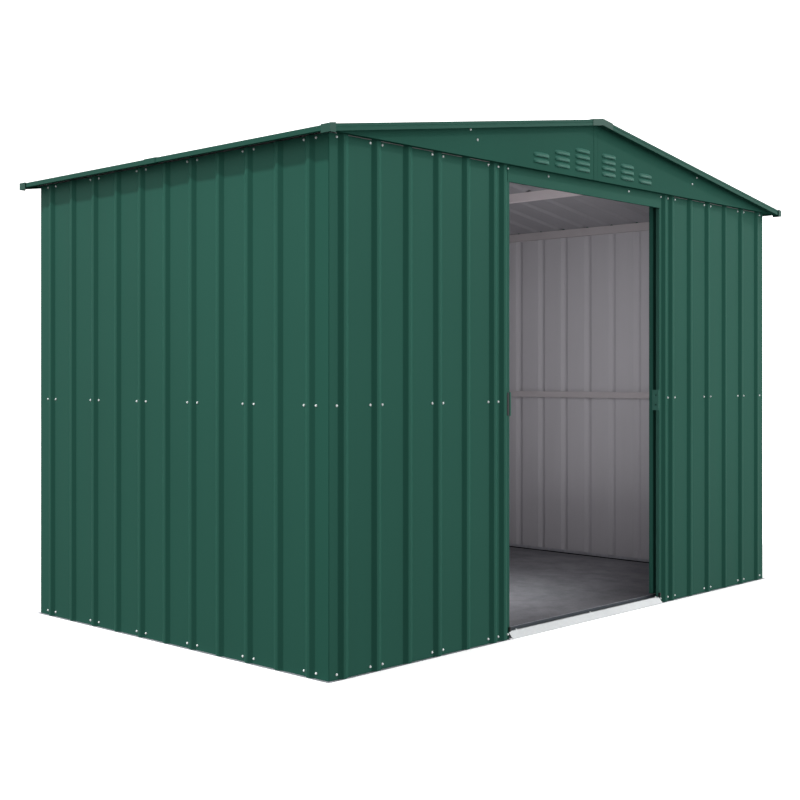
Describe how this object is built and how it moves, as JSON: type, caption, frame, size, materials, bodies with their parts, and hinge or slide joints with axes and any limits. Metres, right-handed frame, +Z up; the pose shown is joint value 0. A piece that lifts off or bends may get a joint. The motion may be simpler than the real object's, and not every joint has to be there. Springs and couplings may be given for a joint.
{
  "type": "metal storage shed",
  "caption": "Ribbed green sheet-metal garden shed with a low gable roof, louvred gables and sliding doors that part behind the front walls.",
  "frame": {"origin": "on the ground, at the middle of the whole outline seen from above", "axes": "+Z up, -Y out of the doorway, +X to the right for someone facing the doors"},
  "size_m": [3.212, 1.968, 2.1301],
  "materials": {
    "wall_paint": "satin",
    "roof_paint": "satin",
    "cap_plastic": "satin",
    "handle_paint": "satin",
    "inner_steel": "satin",
    "galvanised_rail": "satin",
    "threshold_steel": "satin",
    "track_steel": "satin",
    "concrete": "matte"
  },
  "bodies": {
    "shed": {"floor": "concrete", "base_rail_front": "galvanised_rail", "base_rail_rear": "galvanised_rail", "base_rail_left": "galvanised_rail", "base_rail_right": "galvanised_rail", "door_track_bottom": "track_steel", "threshold_ramp": "threshold_steel", "front_wall_left": "wall_paint", "front_wall_right": "wall_paint", "left_wall": "wall_paint", "right_wall": "wall_paint", "rear_wall": "wall_paint", "corner_front_left": "wall_paint", "corner_front_right": "wall_paint", "corner_rear_left": "wall_paint", "corner_rear_right": "wall_paint", "mid_rail_front": "inner_steel", "mid_rail_rear": "inner_steel", "mid_rail_left": "inner_steel", "mid_rail_right": "inner_steel", "eave_beam_left": "inner_steel", "eave_beam_right": "inner_steel", "door_track_top": "inner_steel", "rear_top_rail": "inner_steel", "header": "wall_paint", "front_gable_left": "wall_paint", "front_gable_right": "wall_paint", "rear_gable_left": "wall_paint", "rear_gable_right": "wall_paint", "purlin_left": "inner_steel", "purlin_right": "inner_steel", "roof_panel_left": "roof_paint", "roof_panel_right": "roof_paint", "ridge_cap": "wall_paint", "eave_trim_left": "wall_paint", "eave_trim_right": "wall_paint", "verge_front_left": "wall_paint", "verge_front_right": "wall_paint", "verge_rear_left": "wall_paint", "verge_rear_right": "wall_paint", "roof_corner_caps": "cap_plastic", "ridge_end_caps": "cap_plastic"},
    "left_door": {"left_door": "wall_paint", "left_door_handle": "handle_paint"},
    "right_door": {"right_door": "wall_paint", "right_door_handle": "handle_paint"}
  },
  "joints": [
    {"name": "left_door_slide", "type": "slide", "parent": "shed", "child": "left_door", "axis": [1, 0, 0], "range_m": [0, 0.543]},
    {"name": "right_door_slide", "type": "slide", "parent": "shed", "child": "right_door", "axis": [-1, 0, 0], "range_m": [0, 0.543]}
  ]
}
